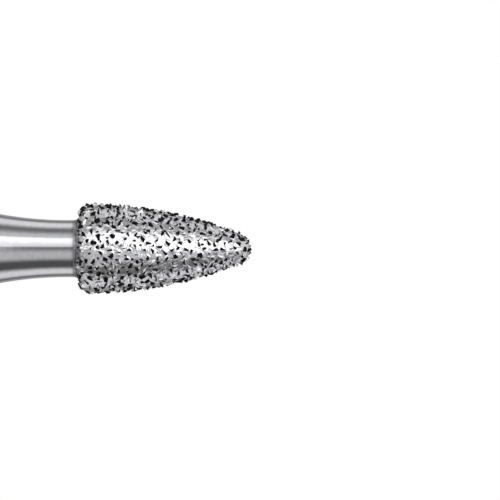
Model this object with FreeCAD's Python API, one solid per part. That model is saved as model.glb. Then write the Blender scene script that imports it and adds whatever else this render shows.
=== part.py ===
# Dental bur with a diamond-coated ogival head on a plain friction-grip shank.
# One turned steel blank runs from the shank's end to the core of the head. A plated layer of nickel
# covers that core, and one layer of diamond crystals stands out of the nickel.
# Lengths are in millimetres. The bur's axis is Z, the end of its shank is at Z = 0 and its nose points up.
import FreeCAD, Part
import bisect
import itertools
import math
import os
import random

from FreeCAD import Placement, Rotation, Vector

# Shank and overall size
BUR_LENGTH = 19.0
SHANK_DIAMETER = 1.60
SHANK_END_ROUNDING = 0.20

# Neck: a straight land behind the head, then a concave flare out to the shank
NECK_DIAMETER = 1.14
NECK_LAND = 0.17
NECK_FLARE_RADIUS = 7.6

# Head, measured over the tips of the crystals
HEAD_LENGTH = 3.52
HEAD_DIAMETER = 1.84
SHOULDER_RADIUS = 0.30
NOSE_RADIUS = 0.36
OGIVE_CREST = 0.10  # from the back of the head to where the long arc of its flank runs level

# Coat: the nickel, and the crystals in it
NICKEL_THICKNESS = 0.07
NICKEL_RUNOUT_RADIUS = 0.11  # hollow where the plating runs out on the neck
CRYSTAL_SIZE = 0.15  # mean width of a crystal, corner to corner
CRYSTAL_SPACING = 0.128  # least distance between the middles of two crystals
CRYSTAL_EXPOSURE = 0.052  # how far a crystal stands out of the nickel
CRYSTAL_GAP = 0.004  # least gap between two crystals
SIZE_SPREAD = 0.18  # share by which crystals, their corners and their exposure differ
LAYOUT_SEED = 11

AXIS = Vector(0, 0, 1)
WAYS = [Vector(1, 0, 0), Vector(-1, 0, 0), Vector(0, 1, 0), Vector(0, -1, 0), AXIS, -AXIS]
OUTLINE_STEPS = 400
MISSES_WHEN_FULL = 400  # throws in a row that find no room, after which the head is covered

shank_radius = SHANK_DIAMETER / 2
neck_radius = NECK_DIAMETER / 2
head_back = BUR_LENGTH - HEAD_LENGTH
nickel_depth = CRYSTAL_EXPOSURE
core_depth = CRYSTAL_EXPOSURE + NICKEL_THICKNESS


def at(radius, height):
    """A point of the half section, which lies in the XZ plane."""
    return Vector(radius, 0, height)


def line(start, end):
    return Part.LineSegment(start, end).toShape()


def arc(centre, start, end):
    """The shorter arc about a centre."""
    middle = (start - centre).normalize() + (end - centre).normalize()
    return Part.Arc(start, centre + middle.normalize() * (start - centre).Length, end).toShape()


def turned(edges):
    """The solid that a closed half section sweeps about the axis."""
    return Part.Face(Part.Wire(edges)).revolve(Vector(), AXIS, 360)


def head_arcs(depth):
    """The shoulder's, flank's and nose's arcs as centre and radius, at a depth below the crystals' tips.

    The flank's arc runs level at the crest and touches the two smaller arcs from outside.
    """
    shoulder = at(HEAD_DIAMETER / 2 - SHOULDER_RADIUS, SHOULDER_RADIUS)
    nose = at(0, HEAD_LENGTH - NOSE_RADIUS)
    behind = shoulder.z - OGIVE_CREST
    ahead = nose.z - OGIVE_CREST
    wider = NOSE_RADIUS - SHOULDER_RADIUS
    slope = wider / shoulder.x
    rest = (wider**2 + ahead**2 - behind**2 - shoulder.x**2) / (2 * shoulder.x)
    reach = (slope * rest + math.sqrt(rest**2 + (1 - slope**2) * ahead**2)) / (1 - slope**2)
    flank = at(-(slope * reach + rest), OGIVE_CREST)
    base = at(0, head_back)
    return (
        (base + shoulder, SHOULDER_RADIUS - depth),
        (base + flank, reach + NOSE_RADIUS - depth),
        (base + nose, NOSE_RADIUS - depth),
    )


def head_outline(depth, start=None):
    """The head's outline from its back, or from a start on the shoulder, to its nose."""
    (shoulder, shoulder_radius), (flank, flank_radius), (nose, nose_radius) = head_arcs(depth)
    crest = flank + (shoulder - flank).normalize() * flank_radius
    tangent = flank + (nose - flank).normalize() * flank_radius
    start = start or shoulder - AXIS * shoulder_radius
    return [
        arc(shoulder, start, crest),
        arc(flank, crest, tangent),
        arc(nose, tangent, nose + AXIS * nose_radius),
    ]


def back_of(depth):
    """Where the head's back is flat: its outer end, on the shoulder's arc."""
    shoulder, radius = head_arcs(depth)[0]
    return shoulder - AXIS * radius


def nose_of(depth):
    nose, radius = head_arcs(depth)[2]
    return nose + AXIS * radius


def runout():
    """The hollow between neck and nickel: its centre, its foot on the neck and its end on the shoulder."""
    shoulder, radius = head_arcs(nickel_depth)[0]
    out = neck_radius + NICKEL_RUNOUT_RADIUS
    drop = math.sqrt((radius + NICKEL_RUNOUT_RADIUS) ** 2 - (out - shoulder.x) ** 2)
    centre = at(out, shoulder.z - drop)
    return centre, at(neck_radius, centre.z), shoulder + (centre - shoulder).normalize() * radius


def steel_blank():
    """Shank, neck and core of the head, turned from one rod."""
    rise = shank_radius - neck_radius
    flare_length = math.sqrt(NECK_FLARE_RADIUS**2 - (NECK_FLARE_RADIUS - rise) ** 2)
    land = at(neck_radius, head_back - NECK_LAND)
    shoulder = at(shank_radius, land.z - flare_length)
    rim = at(shank_radius, SHANK_END_ROUNDING)
    end = at(shank_radius - SHANK_END_ROUNDING, 0)
    back = back_of(core_depth)
    return turned(
        [
            line(Vector(), end),
            arc(at(end.x, rim.z), end, rim),
            line(rim, shoulder),
            arc(land + at(NECK_FLARE_RADIUS, 0), shoulder, land),
            line(land, at(neck_radius, back.z)),
            line(at(neck_radius, back.z), back),
            *head_outline(core_depth),
            line(nose_of(core_depth), Vector()),
        ]
    )


def nickel_bond():
    """The plated layer: a skin over the core, with a hollow runout on the neck."""
    hollow, foot, edge = runout()
    back = back_of(core_depth)
    return turned(
        [
            arc(hollow, foot, edge),
            *head_outline(nickel_depth, edge),
            line(nose_of(nickel_depth), nose_of(core_depth)),
            *head_outline(core_depth)[::-1],
            line(back, at(neck_radius, back.z)),
            line(at(neck_radius, back.z), foot),
        ]
    )


def seats(chance):
    """Places of the crystals on the nickel, each as a point and the normal there.

    The first is on the tip of the nose. The others are thrown at random, as many to each square
    millimetre everywhere, and a throw counts where it is clear of all the earlier ones.
    """
    edge = runout()[2]
    outline = Part.Wire(head_outline(nickel_depth, edge)).discretize(OUTLINE_STEPS)[::-1]
    outline = [point for point in outline if (point - edge).Length > CRYSTAL_SPACING / 2]
    area = [0.0]
    for near, far in zip(outline, outline[1:]):
        area.append(area[-1] + math.pi * (near.x + far.x) * (far - near).Length)
    found = [(outline[0], AXIS)]
    misses = 0
    while misses < MISSES_WHEN_FULL:
        spot = chance.uniform(0, area[-1])
        step = bisect.bisect(area, spot)
        near, far = outline[step - 1], outline[step]
        share = (spot - area[step - 1]) / (area[step] - area[step - 1])
        level = (far - near).normalize()
        around = Rotation(AXIS, chance.uniform(0, 360))
        point = around.multVec(near + (far - near) * share)
        if any((point - other).Length < CRYSTAL_SPACING for other, _ in found):
            misses += 1
        else:
            misses = 0
            found.append((point, around.multVec(at(-level.z, level.x))))
    return found


def crystal(chance, size, below):
    """The part of an uneven octahedron that stands out of the nickel, whose surface is the XY plane."""
    turn = Rotation(*(chance.gauss(0, 1) for _ in range(4)))
    corners = [turn.multVec(way * size / 2 * chance.uniform(1 - SIZE_SPREAD, 1)) for way in WAYS]
    top = max(corner.z for corner in corners)
    lift = AXIS * (CRYSTAL_EXPOSURE * chance.uniform(1 - SIZE_SPREAD, 1) - top)
    faces = []
    for chosen in itertools.product((0, 1), (2, 3), (4, 5)):
        loop = [corners[index] + lift for index in chosen]
        faces.append(Part.Face(Part.makePolygon([*loop, loop[0]])))
    whole = Part.Solid(Part.makeShell(faces))
    if whole.Volume < 0:
        whole.reverse()
    return whole.cut(below).Solids[0]


def diamond_grit():
    """One layer of crystals, none touching another."""
    chance = random.Random(LAYOUT_SEED)
    places = seats(chance)
    room = 2 * CRYSTAL_SIZE
    below = Part.makeBox(room, room, room, Vector(-room / 2, -room / 2, -room))
    grit = []
    for number, (point, normal) in enumerate(places):
        nearest = min((point - other).Length for other, _ in places[:number] + places[number + 1 :])
        size = min(CRYSTAL_SIZE * chance.uniform(1 - SIZE_SPREAD, 1 + SIZE_SPREAD), nearest - CRYSTAL_GAP)
        stone = crystal(chance, size, below)
        stone.Placement = Placement(point, Rotation(AXIS, normal))
        grit.append(stone)
    return Part.makeCompound(grit)


os.makedirs("parts", exist_ok=True)
steel_blank().exportStep("parts/steel_blank.step")
nickel_bond().exportStep("parts/nickel_bond.step")
diamond_grit().exportStep("parts/diamond_grit.step")
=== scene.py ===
"""Dental bur with a diamond-coated ogival head: its finish, its stage and its camera.

One turned steel blank carries a plated coat of nickel on its head, and diamond crystals stand out of
the coat. Lengths are in metres. The bur's axis is Z, the end of its shank is at Z = 0 and its nose
points up.
"""

import math

import bmesh
import bpy
from bpy.props import FloatProperty, FloatVectorProperty, IntProperty, PointerProperty
from mathutils import Matrix, Vector, noise
from mathutils.bvhtree import BVHTree
from mathutils.kdtree import KDTree


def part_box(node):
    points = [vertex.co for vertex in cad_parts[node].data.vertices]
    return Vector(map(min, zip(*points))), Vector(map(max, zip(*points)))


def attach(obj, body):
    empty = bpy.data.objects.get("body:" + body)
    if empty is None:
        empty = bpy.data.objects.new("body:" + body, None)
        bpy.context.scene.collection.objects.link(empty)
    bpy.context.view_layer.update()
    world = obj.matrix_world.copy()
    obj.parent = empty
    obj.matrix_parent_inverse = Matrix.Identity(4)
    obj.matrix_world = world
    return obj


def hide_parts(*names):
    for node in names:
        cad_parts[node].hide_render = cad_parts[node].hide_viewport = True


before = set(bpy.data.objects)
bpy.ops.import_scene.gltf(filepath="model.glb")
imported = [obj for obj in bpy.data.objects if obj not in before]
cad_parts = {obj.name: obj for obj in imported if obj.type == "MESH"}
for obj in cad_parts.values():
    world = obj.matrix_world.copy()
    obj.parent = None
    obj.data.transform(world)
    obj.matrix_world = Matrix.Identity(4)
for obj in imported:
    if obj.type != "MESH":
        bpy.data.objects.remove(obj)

bl_info = {
    "name": "Dental Bur",
    "version": (1, 0, 0),
    "blender": (4, 5, 0),
    "location": "View3D > Sidebar > Bur",
    "description": "Finishes a diamond-coated dental bur around its solids",
    "category": "Add Mesh",
}

MM = 0.001
BODY = "root"
IMAGE_PIXELS = 500
SAME_POINT = MM * 1e-6  # nearer than this, two points of an outline are one
SAME_CORNER = MM * 1e-4  # and so are two corners of the solids' loose triangles
ARC_STEPS = 6  # the fewest steps on an arc of an outline
NOISE_LOW, NOISE_HIGH = 0.3, 0.7  # nearly all of a noise texture lies between them
ROUGHNESS_RANGE = 0.10  # from the least to the most that a metal's roughness varies
WIDE_LINES = 1.5  # height of the steel's wide lines over that of its fine ones
SWELLS = 9.0  # height of the nickel's swells over that of its nodules
STEEL_RELIEF = 0.0006 * MM  # height of the steel's fine lines
NICKEL_RELIEF = 0.001 * MM  # height of the nickel's nodules
# The facets painted dark as shade use this low IOR so that they pick up little reflection.
FACET_IOR = 1.16  # lower than diamond's, so that the dark facets stay dark
CHIP_THROWS = 1e10  # small crystals thrown at a square metre, far more than find room

BLANK_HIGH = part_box("steel_blank")[1]
COAT_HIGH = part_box("nickel_bond")[1]


def length(name, description, default):
    return FloatProperty(
        name=name,
        description=description,
        default=default,
        min=0,
        precision=6,
        unit="LENGTH",
        subtype="DISTANCE",
    )


def share(name, description, default, most=1):
    return FloatProperty(
        name=name, description=description, default=default, min=0, max=most, subtype="FACTOR"
    )


def whole(name, description, default, least=3):
    return IntProperty(name=name, description=description, default=default, min=least)


def colour(name, description, default):
    return FloatVectorProperty(
        name=name, description=description, default=default, size=3, min=0, max=1, subtype="COLOR"
    )


def angle(name, description, default):
    return FloatProperty(
        name=name, description=description, default=default, min=0, unit="ROTATION", subtype="ANGLE"
    )


class BurForm(bpy.types.PropertyGroup):
    """Sizes of the turned blank and of the coat's smooth surface."""

    shank_radius: length("Shank radius", "Half the thickness of the shank", BLANK_HIGH.x)
    shank_rounding: length("Shank rounding", "Radius of the rim at the shank's end", 0.20 * MM)
    neck_radius: length("Neck radius", "Half the thickness behind the head", 0.57 * MM)
    neck_land: length("Neck land", "Straight stretch between flare and head", 0.17 * MM)
    flare_radius: length("Flare radius", "Radius of the hollow flare of the neck", 7.6 * MM)
    head_radius: length("Head radius", "Half the head's width over the crystals", 0.92 * MM)
    head_length: length("Head length", "From the back of the head to its nose", 3.52 * MM)
    shoulder_radius: length("Shoulder radius", "Rounding at the back of the head", 0.30 * MM)
    nose_radius: length("Nose radius", "Rounding of the nose", 0.36 * MM)
    crest: length("Crest", "From the back of the head to where its long arc runs level", 0.10 * MM)
    exposure: length("Exposure", "How far the crystals stand out of the nickel", 0.052 * MM)
    plating: length("Plating", "Thickness of the nickel", COAT_HIGH.z - BLANK_HIGH.z)
    runout_radius: length("Run-out radius", "Hollow where the nickel ends on the neck", 0.11 * MM)
    blank_segments: whole("Blank segments", "Faces round the blank", 192)
    coat_segments: whole("Coat segments", "Faces round the coat", 280)
    coat_step: length("Coat step", "Distance between the coat's rings", 0.0136 * MM)
    plain_step: length("Plain step", "Distance between rings on a smooth curve", 0.05 * MM)


class BurCoat(bpy.types.PropertyGroup):
    """What is uneven on the coat."""

    rise: length("Rise", "How far the nickel climbs up a crystal", 0.007 * MM)
    climb: share("Climb", "Where beside a crystal the climb falls off, over half its width", 0.75)
    foot: length("Foot", "Width of the climb beside a crystal", 0.045 * MM)
    waviness: length("Waviness", "Height of the nickel's slow unevenness", 0.0055 * MM)
    wave_size: length("Wave size", "Width of that unevenness", 0.10 * MM)
    crystal_width: share("Crystal width", "Width of a crystal over that of its solid", 1.04, 2)
    crystal_length: share("Crystal length", "Length of a crystal over its width", 1.5, 3)
    crystal_spread: share("Crystal spread", "Share by which crystals differ in size", 0.05)
    crystal_depth: share("Crystal depth", "From a crystal's top to its middle, over its width", 0.40)
    corner_reach: share("Corner reach", "Least from its middle to a corner, over its width", 0.40, 0.5)
    tilt: angle("Tilt", "How far a crystal leans out of the nickel's plane", 0.65)
    corners: whole("Corners", "Corners of a crystal", 9, 4)
    shapes: whole("Shapes", "How many crystals differ in form", 9, 1)
    chip_size: length("Chip size", "Width of the small crystals between the large ones", 0.085 * MM)
    chip_top: share("Chip top", "How far a small crystal stands out, over a large one", 0.62)
    chip_gap: length("Chip gap", "Least distance between two small crystals", 0.098 * MM)
    chip_room: length("Chip room", "Least distance from a small crystal to a large one", 0.08 * MM)
    seed: whole("Seed", "Choice of forms, turns and places", 5, 0)


class BurFinish(bpy.types.PropertyGroup):
    """Colours and roughness of the three finishes, and where painted shade darkens the run-out hollow on the
    neck.
    """

    steel: colour("Steel", "Turned and ground stainless steel", (0.615, 0.615, 0.64))
    steel_shade: share("Steel shade", "Tone of the steel's darkest lines over that of the steel", 0.80)
    steel_roughness: share("Steel roughness", "Roughness of the steel", 0.13)
    nickel: colour("Nickel", "Plated nickel", (0.635, 0.635, 0.65))
    nickel_shade: share("Nickel shade", "Tone of the nickel's darkest clouds over that of the nickel", 0.88)
    nickel_roughness: share("Nickel roughness", "Roughness of the nickel", 0.27)
    # Painted shade: a dark colour laid on the steel and the nickel in the run-out hollow where the neck
    # meets the head, with the heights where it starts and where it lifts.
    shade_in_runout: colour("Thin nickel", "Where the plating runs out on the neck", (0.14, 0.14, 0.145))
    shade_below_foot: length("Thin below", "How far below the run-out the thin plating starts to show", 0.055 * MM)
    shade_above_foot: length("Thin above", "How far above the run-out's foot it hides the steel", 0.06 * MM)
    shade_lift_start: length("Full start", "How far before the run-out's end the full nickel starts", 0.04 * MM)
    shade_lift_end: length("Full end", "How far before the run-out's end the nickel is full", 0.01 * MM)
    # Painted light and shade on the crystals: one side of each crystal is painted dark as shade and the
    # other pale as glints; only the grey facets mirror as metal.
    shade_facet: colour("Dark facet", "Facets that look into a crystal", (0.004, 0.004, 0.005))
    grey_facet: colour("Grey facet", "Facets between the two, which mirror like metal", (0.36, 0.36, 0.37))
    glint_facet: colour("Pale facet", "Facets that throw the light back", (0.92, 0.92, 0.93))
    shade_facet_share: share("Dark share", "Share of the facets that are dark", 0.72)
    grey_share: share("Grey share", "Share of the facets that are grey", 0.10)
    facet_scatter: share("Facet scatter", "How unlike its neighbours a facet can be", 0.15)


class BurStage(bpy.types.PropertyGroup):
    """Floor, light tent, lamp and camera."""

    floor_radius: length("Floor radius", "Radius of the round floor", 200 * MM)
    floor_fade: share("Floor fade", "Where the floor starts to fade, over its radius", 0.2)
    floor_colour: colour("Floor colour", "Pale matt floor", (0.90, 0.90, 0.90))
    tent_radius: length("Tent radius", "Radius of the light tent", 600 * MM)
    tent_height: length("Tent height", "Height of the tent above the floor, and its depth below", 700 * MM)
    tent_glow: share("Tent glow", "Light of the tent's cloth between its panels", 0.125)
    lamp_light: share("Lamp light", "Strength of the key lamp", 0.8, 10)
    lamp_width: angle("Lamp width", "How wide the lamp looks from the bur", math.radians(20))
    lamp_turn: angle("Lamp turn", "Lamp's place round the bur, from the camera", math.radians(5))
    lamp_rise: angle("Lamp rise", "Lamp's height over the floor", math.radians(28))
    view_width: length("View width", "What the picture takes in at the bur's axis", 10 * MM)
    distance: length("Distance", "From the camera to the bur's axis", 100 * MM)
    tip_x: FloatProperty(name="Tip X", description="Pixel column of the nose's tip", default=252.5)
    axis_y: FloatProperty(name="Axis Y", description="Pixel row of the bur's axis", default=248.6)


def new_node(tree, kind, inputs=None, **settings):
    """A node with its settings, and each named input set to a value or joined to an output."""
    made = tree.nodes.new(kind)
    for name, value in settings.items():
        setattr(made, name, value)
    for key, value in (inputs or {}).items():
        if isinstance(value, bpy.types.NodeSocket):
            tree.links.new(value, made.inputs[key])
        else:
            made.inputs[key].default_value = value
    return made


def maths(tree, operation, *values):
    return new_node(tree, "ShaderNodeMath", dict(enumerate(values)), operation=operation).outputs[0]


def vector_maths(tree, operation, *values):
    """The result of vector maths: a number for a dot product or a length, and otherwise a vector."""
    made = new_node(tree, "ShaderNodeVectorMath", dict(enumerate(values)), operation=operation)
    return made.outputs["Value" if operation in ("DOT_PRODUCT", "LENGTH") else "Vector"]


def scaled(tree, vector, scale):
    inputs = {0: vector, "Scale": scale}
    return new_node(tree, "ShaderNodeVectorMath", inputs, operation="SCALE").outputs[0]


def ramped(tree, value, start, end, low=0.0, high=1.0, curve="LINEAR"):
    """A number that goes from low to high as a value goes from start to end."""
    inputs = {"Value": value, "From Min": start, "From Max": end, "To Min": low, "To Max": high}
    return new_node(tree, "ShaderNodeMapRange", inputs, interpolation_type=curve).outputs[0]


def clouds(tree, place, size, detail):
    """A noise texture whose clouds have a size in metres."""
    look = {"Vector": place, "Scale": 1 / size, "Detail": detail}
    return new_node(tree, "ShaderNodeTexNoise", look).outputs["Fac"]


def new_group(name, kind, inputs, outputs):
    """An empty node group with its sockets, its group input's outputs and its group output."""
    tree = bpy.data.node_groups.new(name, kind)
    for label, socket, default in inputs:
        made = tree.interface.new_socket(name=label, in_out="INPUT", socket_type=socket)
        if default is not None:
            made.default_value = default
    for label, socket in outputs:
        tree.interface.new_socket(name=label, in_out="OUTPUT", socket_type=socket)
    return tree, tree.nodes.new("NodeGroupInput").outputs, tree.nodes.new("NodeGroupOutput").inputs


def place_group(tree, name, inputs):
    """The one output of a node group that is found by its name."""
    group = bpy.data.node_groups[name]
    return new_node(tree, "ShaderNodeGroup", inputs, node_tree=group).outputs[0]


def fine_lines_group():
    """Fine lines round a turned surface: they repeat along Z and hardly change round it."""
    tree, given, result = new_group(
        "Fine lines",
        "ShaderNodeTree",
        [
            ("Vector", "NodeSocketVector", None),
            ("Pitch", "NodeSocketFloat", 0.02 * MM),
            ("Drift", "NodeSocketFloat", 0.01),
        ],
        [("Height", "NodeSocketFloat")],
    )
    drift = {"X": given["Drift"], "Y": given["Drift"], "Z": 1.0}
    flatten = new_node(tree, "ShaderNodeCombineXYZ", drift).outputs[0]
    look = {
        "Vector": vector_maths(tree, "MULTIPLY", given["Vector"], flatten),
        "Scale": maths(tree, "DIVIDE", 1.0, given["Pitch"]),
        "Detail": 3.0,
        "Roughness": 0.62,
    }
    lines = new_node(tree, "ShaderNodeTexNoise", look)
    tree.links.new(lines.outputs["Fac"], result["Height"])


def mottle_group():
    """Slow unevenness of a finish, from a low value to a high one."""
    tree, given, result = new_group(
        "Mottle",
        "ShaderNodeTree",
        [
            ("Vector", "NodeSocketVector", None),
            ("Size", "NodeSocketFloat", 0.3 * MM),
            ("Low", "NodeSocketFloat", 0.0),
            ("High", "NodeSocketFloat", 1.0),
        ],
        [("Value", "NodeSocketFloat")],
    )
    look = {
        "Vector": given["Vector"],
        "Scale": maths(tree, "DIVIDE", 1.0, given["Size"]),
        "Detail": 4.0,
    }
    unevenness = new_node(tree, "ShaderNodeTexNoise", look).outputs["Fac"]
    value = ramped(tree, unevenness, NOISE_LOW, NOISE_HIGH, given["Low"], given["High"])
    tree.links.new(value, result["Value"])


def stretch_group():
    """How far a point is along a stretch of the axis: 0 before its start, 1 after its end."""
    tree, given, result = new_group(
        "Stretch",
        "ShaderNodeTree",
        [
            ("Vector", "NodeSocketVector", None),
            ("Start", "NodeSocketFloat", 0.0),
            ("End", "NodeSocketFloat", MM),
        ],
        [("Share", "NodeSocketFloat")],
    )
    height = new_node(tree, "ShaderNodeSeparateXYZ", {0: given["Vector"]}).outputs["Z"]
    tree.links.new(ramped(tree, height, given["Start"], given["End"]), result["Share"])


def panel_group():
    """One upright panel of the light tent: its light at a point, from its place round the tent."""
    tree, given, result = new_group(
        "Tent panel",
        "ShaderNodeTree",
        [
            ("Vector", "NodeSocketVector", None),
            ("Angle", "NodeSocketFloat", 0.0),
            ("Half width", "NodeSocketFloat", 0.2),
            ("Soft edge", "NodeSocketFloat", 0.1),
            ("Light", "NodeSocketFloat", 1.0),
        ],
        [("Light", "NodeSocketFloat")],
    )
    level = vector_maths(tree, "MULTIPLY", given["Vector"], (1, 1, 0))
    aim = vector_maths(tree, "NORMALIZE", level)
    sine = maths(tree, "MULTIPLY", maths(tree, "SINE", given["Angle"]), -1.0)
    cosine = maths(tree, "MULTIPLY", maths(tree, "COSINE", given["Angle"]), -1.0)
    middle = new_node(tree, "ShaderNodeCombineXYZ", {"X": sine, "Y": cosine, "Z": 0.0}).outputs[0]
    away = maths(tree, "ARCCOSINE", vector_maths(tree, "DOT_PRODUCT", aim, middle))
    outer = maths(tree, "ADD", given["Half width"], given["Soft edge"])
    inner = maths(tree, "SUBTRACT", given["Half width"], given["Soft edge"])
    edge = ramped(tree, away, outer, inner, curve="SMOOTHSTEP")
    tree.links.new(maths(tree, "MULTIPLY", edge, given["Light"]), result["Light"])


def new_material(name):
    """A material with its tree, its shader and the object's own coordinates."""
    material = bpy.data.materials.new(name)
    material.use_nodes = True
    tree = material.node_tree
    shader = tree.nodes["Principled BSDF"]
    return material, tree, shader, new_node(tree, "ShaderNodeTexCoord").outputs["Object"]


def mixed(tree, factor, low, high):
    """A colour between two, by a factor."""
    ends = [end if isinstance(end, bpy.types.NodeSocket) else (*end, 1) for end in (low, high)]
    made = new_node(tree, "ShaderNodeMix", {0: factor, 6: ends[0], 7: ends[1]}, data_type="RGBA")
    return made.outputs[2]


def stretch(tree, place, start, end):
    return place_group(tree, "Stretch", {"Vector": place, "Start": start, "End": end})


def painted_runout_shade(tree, place, finish, foot):
    """How far painted shade darkens the surface, about the foot of the run-out hollow."""
    return stretch(tree, place, foot - finish.shade_below_foot, foot + finish.shade_above_foot)


def darker(tint, tone):
    return [value * tone for value in tint]


def finish_metal(tree, shader, mask, roughness, height, relief):
    """A metal's roughness, which a mask varies about its own value, and its bump."""
    rough = maths(tree, "MULTIPLY_ADD", mask, ROUGHNESS_RANGE, roughness - ROUGHNESS_RANGE / 2)
    tree.links.new(rough, shader.inputs["Roughness"])
    bump = new_node(tree, "ShaderNodeBump", {"Height": height, "Distance": relief, "Strength": 1.0})
    tree.links.new(bump.outputs[0], shader.inputs["Normal"])
    shader.inputs["Metallic"].default_value = 1.0


def steel_material(finish, foot):
    """Turned and ground steel: fine lines round it, a faint grain, and painted shade that darkens it towards
    the run-out hollow by the head.
    """
    material, tree, shader, place = new_material("turned_steel")
    lines = place_group(tree, "Fine lines", {"Vector": place, "Pitch": 0.02 * MM})
    wide = place_group(tree, "Fine lines", {"Vector": place, "Pitch": 0.09 * MM})
    grain = place_group(tree, "Mottle", {"Vector": place, "Size": 0.08 * MM})
    tone = maths(tree, "MULTIPLY", lines, grain)
    bare = mixed(tree, tone, darker(finish.steel, finish.steel_shade), finish.steel)
    # Painted shade darkens the steel towards the run-out hollow.
    surface = mixed(tree, painted_runout_shade(tree, place, finish, foot), bare, finish.shade_in_runout)
    tree.links.new(surface, shader.inputs["Base Color"])
    height = maths(tree, "MULTIPLY_ADD", wide, WIDE_LINES, lines)
    finish_metal(tree, shader, wide, finish.steel_roughness, height, STEEL_RELIEF)
    return material


def nickel_material(finish, foot, edge):
    """Plated nickel: bright and slightly grained, with small nodules, and painted dark as shade in its
    run-out hollow.
    """
    material, tree, shader, place = new_material("plated_nickel")
    mottle = place_group(tree, "Mottle", {"Vector": place, "Size": 0.06 * MM})
    bright = mixed(tree, mottle, darker(finish.nickel, finish.nickel_shade), finish.nickel)
    # Painted shade in the run-out hollow, lifting to the bright nickel towards the shoulder.
    thin = mixed(tree, painted_runout_shade(tree, place, finish, foot), finish.steel, finish.shade_in_runout)
    full = stretch(tree, place, edge - finish.shade_lift_start, edge - finish.shade_lift_end)
    tree.links.new(mixed(tree, full, thin, bright), shader.inputs["Base Color"])
    nodules = new_node(
        tree,
        "ShaderNodeTexVoronoi",
        {"Vector": place, "Scale": 1 / (0.022 * MM), "Smoothness": 0.6},
        feature="SMOOTH_F1",
    )
    grain = clouds(tree, place, 0.012 * MM, 2.0)
    swells = clouds(tree, place, 0.05 * MM, 1.0)
    small = maths(tree, "SUBTRACT", grain, nodules.outputs["Distance"])
    height = maths(tree, "MULTIPLY_ADD", swells, SWELLS, small)
    finish_metal(tree, shader, mottle, finish.nickel_roughness, height, NICKEL_RELIEF)
    return material


def diamond_material(finish):
    """Crushed diamond: sharp glossy facets with painted light and shade, some painted dark as shade and some
    pale as glints.
    """
    material, tree, shader, place = new_material("diamond")
    facet = new_node(tree, "ShaderNodeAttribute", attribute_name="facet_tone").outputs["Fac"]
    ramp = new_node(tree, "ShaderNodeValToRGB", {"Fac": facet})
    ramp.color_ramp.interpolation = "CONSTANT"
    steps = ramp.color_ramp.elements
    steps[0].color = (*finish.shade_facet, 1)
    steps[1].position = finish.shade_facet_share
    steps[1].color = (*finish.grey_facet, 1)
    pale = steps.new(finish.shade_facet_share + finish.grey_share)
    pale.color = (*finish.glint_facet, 1)
    tree.links.new(ramp.outputs["Color"], shader.inputs["Base Color"])
    half = finish.grey_share / 2
    grey = maths(tree, "COMPARE", facet, finish.shade_facet_share + half, half)
    tree.links.new(grey, shader.inputs["Metallic"])
    dust = {"Vector": place, "Size": 0.03 * MM, "Low": 0.06, "High": 0.22}
    tree.links.new(place_group(tree, "Mottle", dust), shader.inputs["Roughness"])
    shader.inputs["IOR"].default_value = FACET_IOR
    return material


def head_arcs(form, depth):
    """The shoulder's, flank's and nose's arcs as centre and radius, at a depth below the crystals' tips.

    A point is (radius, height). The flank's arc runs level at the crest and touches the two smaller arcs
    from outside.
    """
    shoulder = Vector((form.head_radius - form.shoulder_radius, form.shoulder_radius))
    nose = Vector((0, form.head_length - form.nose_radius))
    behind = shoulder.y - form.crest
    ahead = nose.y - form.crest
    wider = form.nose_radius - form.shoulder_radius
    slope = wider / shoulder.x
    rest = (wider**2 + ahead**2 - behind**2 - shoulder.x**2) / (2 * shoulder.x)
    reach = (slope * rest + math.sqrt(rest**2 + (1 - slope**2) * ahead**2)) / (1 - slope**2)
    flank = Vector((-(slope * reach + rest), form.crest))
    base = Vector((0, head_back(form)))
    return (
        (base + shoulder, form.shoulder_radius - depth),
        (base + flank, reach + form.nose_radius - depth),
        (base + nose, form.nose_radius - depth),
    )


def head_back(form):
    """Height of the back of the head."""
    return COAT_HIGH.z + form.exposure - form.head_length


def arc(centre, start, end, step):
    """Points of the shorter arc about a centre, both ends among them."""
    radius = (start - centre).length
    first = math.atan2(start.y - centre.y, start.x - centre.x)
    last = math.atan2(end.y - centre.y, end.x - centre.x)
    turn = (last - first + math.pi) % (2 * math.pi) - math.pi
    count = max(ARC_STEPS, math.ceil(abs(turn) * radius / step))
    angles = [first + turn * number / count for number in range(count + 1)]
    return [centre + Vector((math.cos(a), math.sin(a))) * radius for a in angles]


def straight(start, end, step):
    count = max(1, math.ceil((end - start).length / step))
    return [start.lerp(end, number / count) for number in range(count + 1)]


def without_doubles(outline):
    """An outline's points, with only one where two of its runs meet."""
    kept = [outline[0]]
    for point in outline[1:]:
        if (point - kept[-1]).length > SAME_POINT:
            kept.append(point)
    return kept


def ring(radius, height, count):
    """Points at even steps round the axis."""
    angles = [2 * math.pi * number / count for number in range(count)]
    return [(radius * math.cos(a), radius * math.sin(a), height) for a in angles]


def head_outline(form, depth, step, start=None):
    """The head's outline from its back, or from a start on the shoulder, to its nose."""
    (shoulder, shoulder_radius), (flank, flank_radius), (nose, nose_radius) = head_arcs(form, depth)
    crest = flank + (shoulder - flank).normalized() * flank_radius
    tangent = flank + (nose - flank).normalized() * flank_radius
    tip = nose + Vector((0, nose_radius))
    start = start or shoulder - Vector((0, shoulder_radius))
    return [
        *arc(shoulder, start, crest, step),
        *arc(flank, crest, tangent, step),
        *arc(nose, tangent, tip, step),
    ]


def runout(form):
    """The hollow between neck and nickel: its centre, its foot on the neck and its end on the shoulder."""
    shoulder, radius = head_arcs(form, form.exposure)[0]
    out = form.neck_radius + form.runout_radius
    drop = math.sqrt((radius + form.runout_radius) ** 2 - (out - shoulder.x) ** 2)
    centre = Vector((out, shoulder.y - drop))
    return centre, Vector((form.neck_radius, centre.y)), shoulder + (centre - shoulder).normalized() * radius


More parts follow.
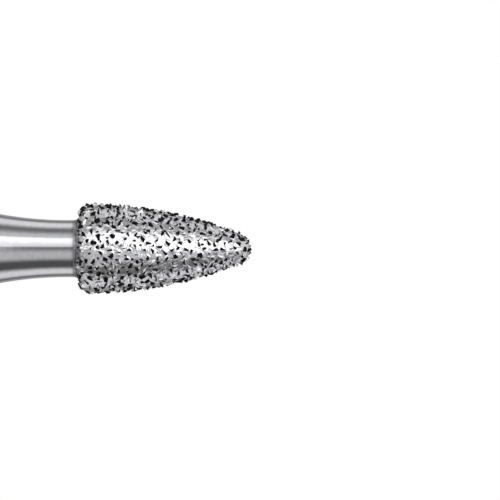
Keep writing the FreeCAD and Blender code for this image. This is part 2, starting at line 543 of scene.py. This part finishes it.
def blank_outline(form):
    """Half section of the blank, from the middle of the shank's end to the core's nose."""
    rise = form.shank_radius - form.neck_radius
    run = math.sqrt(form.flare_radius**2 - (form.flare_radius - rise) ** 2)
    land = Vector((form.neck_radius, head_back(form) - form.neck_land))
    flare = Vector((form.shank_radius, land.y - run))
    rim = Vector((form.shank_radius, form.shank_rounding))
    end = Vector((form.shank_radius - form.shank_rounding, 0))
    core = head_outline(form, form.exposure + form.plating, form.plain_step)
    corner = Vector((form.neck_radius, core[0].y))
    return [
        *straight(Vector((0, 0)), end, form.plain_step * 2),
        *arc(Vector((end.x, rim.y)), end, rim, form.plain_step / 3),
        *straight(rim, flare, form.plain_step * 10),
        *arc(land + Vector((form.flare_radius, 0)), flare, land, form.plain_step),
        *straight(land, corner, form.plain_step * 2),
        *core,
    ]


def coat_outline(form):
    """Half section of the coat: up its inner side, and then its outer side from the foot to the nose."""
    hollow, foot, edge = runout(form)
    core = head_outline(form, form.exposure + form.plating, form.plain_step * 3)
    corner = Vector((form.neck_radius, core[0].y))
    outer = arc(hollow, foot, edge, form.coat_step) + head_outline(form, form.exposure, form.coat_step, edge)
    return [*core[::-1], *straight(corner, foot, form.plain_step), *outer]


def head_outline_closed(form):
    """The nickel's smooth outer outline, closed on the axis at both ends."""
    outline = head_outline(form, form.exposure, form.coat_step)
    return [Vector((0, outline[0].y)), *outline]


def coat_inner_count(form):
    """How many of the coat's vertices, counted from its first, lie on its inner side."""
    outline = without_doubles(coat_outline(form))
    foot = runout(form)[1]
    foot_ring = min(range(len(outline)), key=lambda number: (outline[number] - foot).length)
    return 1 + foot_ring * form.coat_segments


def turned_mesh(name, outline, segments):
    """A closed surface from a half section that starts and ends on the axis."""
    first, *between, last = without_doubles(outline)
    vertices = [(0, 0, first.y)]
    for radius, height in between:
        vertices += ring(radius, height, segments)
    vertices.append((0, 0, last.y))
    top = len(vertices) - 1
    faces = []
    for near in range(segments):
        far = (near + 1) % segments
        faces.append((0, 1 + far, 1 + near))
        for number in range(len(between) - 1):
            low = 1 + number * segments
            high = low + segments
            faces.append((low + near, low + far, high + far, high + near))
        highest = top - segments
        faces.append((highest + near, highest + far, top))
    mesh = bpy.data.meshes.new(name)
    mesh.from_pydata(vertices, [], faces)
    mesh.shade_smooth()
    return mesh


def show(name, mesh, material):
    """An object at the origin with that mesh and finish."""
    piece = bpy.data.objects.new(name, mesh)
    bpy.context.scene.collection.objects.link(piece)
    mesh.materials.clear()
    mesh.materials.append(material)
    return piece


def crystal_seats(form):
    """Where the solids' crystals sit: point on the nickel, direction out of it, and width, for each."""
    solids = bmesh.new()
    solids.from_mesh(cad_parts["diamond_grit"].data)
    bmesh.ops.remove_doubles(solids, verts=solids.verts, dist=SAME_CORNER)
    surface = turned_mesh("smooth_coat", head_outline_closed(form), form.coat_segments)
    nickel = bmesh.new()
    nickel.from_mesh(surface)
    near = BVHTree.FromBMesh(nickel)
    seats = []
    # A dict keeps the order of the corners, which a set would not, so each run gives the same digits.
    left = dict.fromkeys(solids.verts)
    while left:
        island = [left.popitem()[0]]
        for vertex in island:
            for edge in vertex.link_edges:
                other = edge.other_vert(vertex)
                if other in left:
                    del left[other]
                    island.append(other)
        middle = sum((v.co for v in island), Vector()) / len(island)
        point, normal, _, _ = near.find_nearest(middle)
        width = 2 * max((v.co - middle).length for v in island)
        seats.append((point, normal, width))
    solids.free()
    nickel.free()
    bpy.data.meshes.remove(surface)
    return sorted(seats, key=lambda seat: tuple(seat[0]))


def smooth_step(value):
    value = min(max(value, 0), 1)
    return value * value * (3 - 2 * value)


class BUR_OT_blank(bpy.types.Operator):
    """Turn the steel blank: shank, flared neck and core of the head"""

    bl_idname = "bur.blank"
    bl_label = "Steel Blank"

    def execute(self, context):
        form = context.scene.bur_form
        mesh = turned_mesh("turned_blank", blank_outline(form), form.blank_segments)
        piece = show("turned_blank", mesh, steel_material(context.scene.bur_finish, runout(form)[1].y))
        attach(piece, BODY)
        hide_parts("steel_blank")
        return {"FINISHED"}


class BUR_OT_coat(bpy.types.Operator):
    """Plate the head with nickel that climbs a little up each crystal"""

    bl_idname = "bur.coat"
    bl_label = "Nickel Coat"

    def execute(self, context):
        form = context.scene.bur_form
        coat = context.scene.bur_coat
        mesh = turned_mesh("nickel_coat", coat_outline(form), form.coat_segments)
        seats = crystal_seats(form)
        tree = KDTree(len(seats))
        for number, (point, _, _) in enumerate(seats):
            tree.insert(point, number)
        tree.balance()
        normals = [Vector(vertex.normal) for vertex in mesh.vertices]
        _, foot, edge = (place.y for place in runout(form))
        for vertex in mesh.vertices[coat_inner_count(form) :]:
            _, number, away = tree.find(vertex.co)
            half_width = seats[number][2] / 2
            climb = coat.rise * (1 - smooth_step((away - half_width * coat.climb) / coat.foot))
            wave = coat.waviness * noise.noise(vertex.co / coat.wave_size)
            fade = smooth_step((vertex.co.z - edge) / form.runout_radius)
            vertex.co += normals[vertex.index] * (climb + wave * fade)
        piece = show("nickel_coat", mesh, nickel_material(context.scene.bur_finish, foot, edge))
        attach(piece, BODY)
        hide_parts("nickel_bond")
        return {"FINISHED"}


def crystal_tree(coat, material):
    """Geometry nodes: uneven crystals on given seats, and small chips between them on the nickel."""
    tree, given, result = new_group(
        "Crystals",
        "GeometryNodeTree",
        [
            ("Seats", "NodeSocketGeometry", None),
            ("Nickel", "NodeSocketObject", None),
            ("Width", "NodeSocketFloat", 1.0),
            ("Length", "NodeSocketFloat", 1.3),
            ("Spread", "NodeSocketFloat", 0.15),
            ("Tilt", "NodeSocketFloat", 0.5),
            ("Exposure", "NodeSocketFloat", 0.05 * MM),
            ("Chip size", "NodeSocketFloat", 0.08 * MM),
            ("Chip gap", "NodeSocketFloat", 0.08 * MM),
            ("Chip room", "NodeSocketFloat", 0.09 * MM),
            ("Lowest", "NodeSocketFloat", 0.0),
            ("Scatter", "NodeSocketFloat", 0.15),
            ("Seed", "NodeSocketInt", 1),
        ],
        [("Geometry", "NodeSocketGeometry")],
    )
    tree.is_modifier = True

    def seed(number):
        """The tree's seed plus a number that no other random choice has."""
        return maths(tree, "ADD", given["Seed"], float(number))

    def chance(kind, low, high, number):
        """A random value from low to high for each point or face."""
        sockets = {"FLOAT_VECTOR": (0, 1, 0), "FLOAT": (2, 3, 1), "INT": (4, 5, 2)}
        least, most, output = sockets[kind]
        inputs = {least: low, most: high, "Seed": seed(number)}
        return new_node(tree, "FunctionNodeRandomValue", inputs, data_type=kind).outputs[output]

    def combined(x, y, z):
        return new_node(tree, "ShaderNodeCombineXYZ", {"X": x, "Y": y, "Z": z}).outputs[0]

    def part_of(vector, axis):
        return new_node(tree, "ShaderNodeSeparateXYZ", {0: vector}).outputs[axis]

    def stored(kind, domain, geometry, name, value):
        """The geometry with a named attribute."""
        inputs = {0: geometry, "Name": name, "Value": value}
        made = new_node(tree, "GeometryNodeStoreNamedAttribute", inputs, data_type=kind, domain=domain)
        return made.outputs[0]

    def attribute(kind, name):
        return new_node(tree, "GeometryNodeInputNamedAttribute", {"Name": name}, data_type=kind).outputs[0]

    def less(first, second):
        inputs = {0: first, 1: second}
        made = new_node(tree, "FunctionNodeCompare", inputs, data_type="FLOAT", operation="LESS_THAN")
        return made.outputs[0]

    forms = new_node(tree, "GeometryNodeJoinGeometry")
    longer = combined(given["Length"], 1.0, 1.0)
    # Painted light and shade: a facet's tone follows which way it faces in its crystal, so one side of each
    # crystal is painted dark as shade and the other pale as glints.
    flank = part_of(new_node(tree, "GeometryNodeInputNormal").outputs[0], "Y")
    scatter = chance("FLOAT", maths(tree, "MULTIPLY", given["Scatter"], -1.0), given["Scatter"], 95)
    brightness = maths(tree, "ADD", maths(tree, "MULTIPLY_ADD", flank, 0.5, 0.5), scatter)
    for number in range(coat.shapes):
        aim = vector_maths(tree, "NORMALIZE", chance("FLOAT_VECTOR", (-1, -1, -1), (1, 1, 1), 10 + number))
        corner = scaled(tree, aim, chance("FLOAT", coat.corner_reach, 0.5, 40 + number))
        place = vector_maths(tree, "MULTIPLY", corner, longer)
        cloud = new_node(tree, "GeometryNodePoints", {"Count": coat.corners, "Position": place})
        hull = new_node(tree, "GeometryNodeConvexHull", {0: cloud.outputs[0]})
        hull_with_painted_light = stored("FLOAT", "FACE", hull.outputs[0], "facet_tone", brightness)
        one = new_node(tree, "GeometryNodeGeometryToInstance", {0: hull_with_painted_light})
        tree.links.new(one.outputs[0], forms.inputs[0])

    lean_most = combined(given["Tilt"], given["Tilt"], math.pi)
    lean_least = vector_maths(tree, "MULTIPLY", lean_most, (-1, -1, -1))
    share_low = maths(tree, "SUBTRACT", 1.0, given["Spread"])
    share_high = maths(tree, "ADD", 1.0, given["Spread"])

    def crystals(points, normal, width, exposure, number):
        """One crystal at each point, turned at random, with its top at its exposure.

        Its three random choices have the given number and the two after it.
        """
        grown = maths(tree, "MULTIPLY", width, chance("FLOAT", share_low, share_high, number))
        middle = maths(tree, "MULTIPLY_ADD", grown, -coat.crystal_depth, exposure)
        offset = scaled(tree, normal, middle)
        moved = new_node(tree, "GeometryNodeSetPosition", {0: points, "Offset": offset})
        upright = new_node(tree, "FunctionNodeAlignRotationToVector", {"Vector": normal}, axis="Z")
        lean = chance("FLOAT_VECTOR", lean_least, lean_most, number + 1)
        own = new_node(tree, "FunctionNodeEulerToRotation", {0: lean})
        turn = new_node(
            tree,
            "FunctionNodeRotateRotation",
            {"Rotation": upright.outputs[0], "Rotate By": own.outputs[0]},
            rotation_space="LOCAL",
        )
        placed = new_node(
            tree,
            "GeometryNodeInstanceOnPoints",
            {
                "Points": moved.outputs[0],
                "Instance": forms.outputs[0],
                "Pick Instance": True,
                "Instance Index": chance("INT", 0, coat.shapes - 1, number + 2),
                "Rotation": turn.outputs[0],
                "Scale": grown,
            },
        )
        return placed.outputs[0]

    outward = attribute("FLOAT_VECTOR", "outward")
    wide = maths(tree, "MULTIPLY", attribute("FLOAT", "width"), given["Width"])
    large = crystals(given["Seats"], outward, wide, given["Exposure"], 70)

    nickel = new_node(tree, "GeometryNodeObjectInfo", {0: given["Nickel"]})
    thrown = new_node(
        tree,
        "GeometryNodeDistributePointsOnFaces",
        {
            "Mesh": nickel.outputs["Geometry"],
            "Distance Min": given["Chip gap"],
            "Density Max": CHIP_THROWS,
            "Seed": seed(80),
        },
        distribute_method="POISSON",
    )
    aimed = stored("FLOAT_VECTOR", "POINT", thrown.outputs["Points"], "outward", thrown.outputs["Normal"])
    to_seat = new_node(tree, "GeometryNodeProximity", {0: given["Seats"]}, target_element="POINTS")
    height = part_of(new_node(tree, "GeometryNodeInputPosition").outputs[0], "Z")
    unwanted = new_node(
        tree,
        "FunctionNodeBooleanMath",
        {0: less(to_seat.outputs["Distance"], given["Chip room"]), 1: less(height, given["Lowest"])},
        operation="OR",
    )
    cleared = new_node(
        tree, "GeometryNodeDeleteGeometry", {0: aimed, "Selection": unwanted.outputs[0]}, domain="POINT"
    )
    chip_top = maths(tree, "MULTIPLY", given["Exposure"], coat.chip_top)
    small = crystals(cleared.outputs[0], outward, given["Chip size"], chip_top, 90)

    both = new_node(tree, "GeometryNodeJoinGeometry")
    tree.links.new(large, both.inputs[0])
    tree.links.new(small, both.inputs[0])
    real = new_node(tree, "GeometryNodeRealizeInstances", {0: both.outputs[0]})
    sharp = new_node(tree, "GeometryNodeSetShadeSmooth", {0: real.outputs[0], "Shade Smooth": False})
    dressed = new_node(tree, "GeometryNodeSetMaterial", {0: sharp.outputs[0], "Material": material})
    tree.links.new(dressed.outputs[0], result["Geometry"])
    return tree


def set_inputs(modifier, values):
    """Sets a Geometry Nodes modifier's inputs by their names."""
    sockets = modifier.node_group.interface.items_tree
    names = {socket.name: socket.identifier for socket in sockets if socket.in_out == "INPUT"}
    for name, value in values.items():
        modifier[names[name]] = value


class BUR_OT_crystals(bpy.types.Operator):
    """Set the diamond crystals in the nickel, with small chips between them"""

    bl_idname = "bur.crystals"
    bl_label = "Diamond Crystals"

    def execute(self, context):
        form = context.scene.bur_form
        coat = context.scene.bur_coat
        material = diamond_material(context.scene.bur_finish)
        seats = crystal_seats(form)
        points = bpy.data.meshes.new("crystal_seats")
        points.from_pydata([tuple(point) for point, _, _ in seats], [], [])
        outward = points.attributes.new("outward", "FLOAT_VECTOR", "POINT")
        outward.data.foreach_set("vector", [value for _, normal, _ in seats for value in normal])
        width = points.attributes.new("width", "FLOAT", "POINT")
        width.data.foreach_set("value", [size for _, _, size in seats])
        carrier = bpy.data.objects.new("crystal_seats", points)
        context.scene.collection.objects.link(carrier)
        grower = carrier.modifiers.new("crystals", "NODES")
        grower.node_group = crystal_tree(coat, material)
        values = {
            "Nickel": bpy.data.objects["nickel_coat"],
            "Width": coat.crystal_width,
            "Length": coat.crystal_length,
            "Spread": coat.crystal_spread,
            "Tilt": coat.tilt,
            "Exposure": form.exposure,
            "Chip size": coat.chip_size,
            "Chip gap": coat.chip_gap,
            "Chip room": coat.chip_room,
            "Lowest": runout(form)[2].y,
            "Scatter": context.scene.bur_finish.facet_scatter,
            "Seed": coat.seed,
        }
        set_inputs(grower, values)
        evaluated = carrier.evaluated_get(context.evaluated_depsgraph_get())
        mesh = bpy.data.meshes.new_from_object(evaluated)
        mesh.name = "diamond_crystals"
        carrier.modifiers.remove(grower)
        bpy.data.objects.remove(carrier)
        bpy.data.meshes.remove(points)
        piece = show("diamond_crystals", mesh, material)
        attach(piece, BODY)
        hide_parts("diamond_grit")
        return {"FINISHED"}


# Panels of the light tent: place round it, half width and softness of the edge in degrees, and light.
# Zero degrees is where the camera stands, and the angle grows towards the top of the picture.
TENT_PANELS = [
    (25, 18, 3, 1.08),
    (0, 9, 8, 0.12),
    (42, 22, 12, 0.79),
    (-26, 18, 11, 0.67),
    (78, 12, 10, 0.14),
    (109, 17, 12, 1.1),
    (-105, 18, 12, 1.02),
    (180, 40, 14, 0.38),
]


def tent_material(stage):
    """Cloth that glows a little, with brighter upright panels."""
    material = bpy.data.materials.new("light_tent")
    material.use_nodes = True
    tree = material.node_tree
    tree.nodes.clear()
    place = new_node(tree, "ShaderNodeTexCoord").outputs["Object"]
    light = stage.tent_glow
    for middle, half, soft, strength in TENT_PANELS:
        inputs = {
            "Vector": place,
            "Angle": math.radians(middle),
            "Half width": math.radians(half),
            "Soft edge": math.radians(soft),
            "Light": strength,
        }
        light = maths(tree, "ADD", place_group(tree, "Tent panel", inputs), light)
    glow = new_node(tree, "ShaderNodeEmission", {"Strength": light})
    out = new_node(tree, "ShaderNodeOutputMaterial")
    tree.links.new(glow.outputs[0], out.inputs["Surface"])
    return material


class BUR_OT_stage(bpy.types.Operator):
    """Set up the floor, the light tent, the lamp, the white surroundings and the camera"""

    bl_idname = "bur.stage"
    bl_label = "Stage"

    def execute(self, context):
        stage = context.scene.bur_stage
        self.floor(stage)
        self.tent(stage)
        self.lamp(context, stage)
        self.surroundings(context)
        self.camera(context, stage)
        return {"FINISHED"}

    def floor(self, stage):
        """A pale floor that fades out at its rim. Metal mirrors the tent's lower part through it."""
        mesh = bpy.data.meshes.new("floor")
        rim = 128
        mesh.from_pydata(ring(stage.floor_radius, 0, rim), [], [tuple(range(rim))])
        material, tree, shader, place = new_material("floor")
        shader.inputs["Base Color"].default_value = (*stage.floor_colour, 1)
        shader.inputs["Roughness"].default_value = 0.9
        mirrored = new_node(tree, "ShaderNodeLightPath").outputs["Is Glossy Ray"]
        below = new_node(tree, "ShaderNodeNewGeometry").outputs["Backfacing"]
        out = vector_maths(tree, "LENGTH", place)
        start = stage.floor_radius * stage.floor_fade
        fade = ramped(tree, out, start, stage.floor_radius, curve="SMOOTHSTEP")
        gone = maths(tree, "MAXIMUM", maths(tree, "MAXIMUM", mirrored, below), fade)
        clear = new_node(tree, "ShaderNodeBsdfTransparent")
        floor = new_node(tree, "ShaderNodeMixShader", {0: gone, 1: shader.outputs[0], 2: clear.outputs[0]})
        tree.links.new(floor.outputs[0], tree.nodes["Material Output"].inputs["Surface"])
        show("floor", mesh, material)

    def tent(self, stage):
        """A round tent, open at the top and closed at the bottom."""
        mesh = bpy.data.meshes.new("light_tent")
        rim = 96
        lower = ring(stage.tent_radius, -stage.tent_height, rim)
        upper = ring(stage.tent_radius, stage.tent_height, rim)
        wall = [(n, (n + 1) % rim, rim + (n + 1) % rim, rim + n) for n in range(rim)]
        mesh.from_pydata([*lower, *upper], [], [*wall, tuple(range(rim))])
        tent = show("light_tent", mesh, tent_material(stage))
        tent.visible_camera = False
        tent.visible_shadow = False

    def lamp(self, context, stage):
        """A wide lamp in front of the head, towards the top of the picture and the bur's nose."""
        light = bpy.data.lights.new("key_lamp", "SUN")
        light.energy = stage.lamp_light
        light.angle = stage.lamp_width
        lamp = bpy.data.objects.new("key_lamp", light)
        context.scene.collection.objects.link(lamp)
        turn, rise = stage.lamp_turn, stage.lamp_rise
        aim = Vector((-math.sin(turn) * math.cos(rise), -math.cos(turn) * math.cos(rise), math.sin(rise)))
        lamp.matrix_world = aim.to_track_quat("Z", "Y").to_matrix().to_4x4()

    def surroundings(self, context):
        world = bpy.data.worlds.new("white")
        world.use_nodes = True
        world.node_tree.nodes["Background"].inputs["Color"].default_value = (1, 1, 1, 1)
        context.scene.world = world

    def camera(self, context, stage):
        """Looks along +Y with the bur's nose to the right of the picture."""
        lens = bpy.data.cameras.new("camera")
        lens.lens = lens.sensor_width * stage.distance / stage.view_width
        lens.clip_start = MM
        lens.clip_end = 10
        camera = bpy.data.objects.new("camera", lens)
        context.scene.collection.objects.link(camera)
        pixel = stage.view_width / IMAGE_PIXELS
        tip = COAT_HIGH.z + context.scene.bur_form.exposure
        height = tip - (stage.tip_x - IMAGE_PIXELS / 2) * pixel
        aside = (IMAGE_PIXELS / 2 - stage.axis_y) * pixel
        right, up, back = Vector((0, 0, 1)), Vector((-1, 0, 0)), Vector((0, -1, 0))
        turn = Matrix((right, up, back)).transposed()
        place = Vector((aside, -stage.distance, height))
        camera.matrix_world = Matrix.Translation(place) @ turn.to_4x4()
        context.scene.camera = camera


class BUR_PT_sidebar(bpy.types.Panel):
    """Lists what the bur is built from."""

    bl_label = "Dental Bur"
    bl_idname = "BUR_PT_sidebar"
    bl_space_type = "VIEW_3D"
    bl_region_type = "UI"
    bl_category = "Bur"

    def draw(self, context):
        for operator in PIECES:
            self.layout.operator(operator.bl_idname)
        for name in GROUPS:
            group = getattr(context.scene, name)
            box = self.layout.box()
            for key in group.bl_rna.properties.keys():
                if key not in ("rna_type", "name"):
                    box.prop(group, key)


GROUPS = {"bur_form": BurForm, "bur_coat": BurCoat, "bur_finish": BurFinish, "bur_stage": BurStage}
PIECES = [BUR_OT_blank, BUR_OT_coat, BUR_OT_crystals, BUR_OT_stage]


def register():
    for kind in [*GROUPS.values(), *PIECES, BUR_PT_sidebar]:
        bpy.utils.register_class(kind)
    for name, kind in GROUPS.items():
        setattr(bpy.types.Scene, name, PointerProperty(type=kind))


def unregister():
    for name in GROUPS:
        delattr(bpy.types.Scene, name)
    for kind in reversed([*GROUPS.values(), *PIECES, BUR_PT_sidebar]):
        bpy.utils.unregister_class(kind)


def main():
    register()
    bpy.context.scene.view_settings.view_transform = "Standard"
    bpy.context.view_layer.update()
    fine_lines_group()
    mottle_group()
    stretch_group()
    panel_group()
    bpy.ops.bur.blank()
    bpy.ops.bur.coat()
    bpy.ops.bur.crystals()
    bpy.ops.bur.stage()


if __name__ == "__main__":
    main()
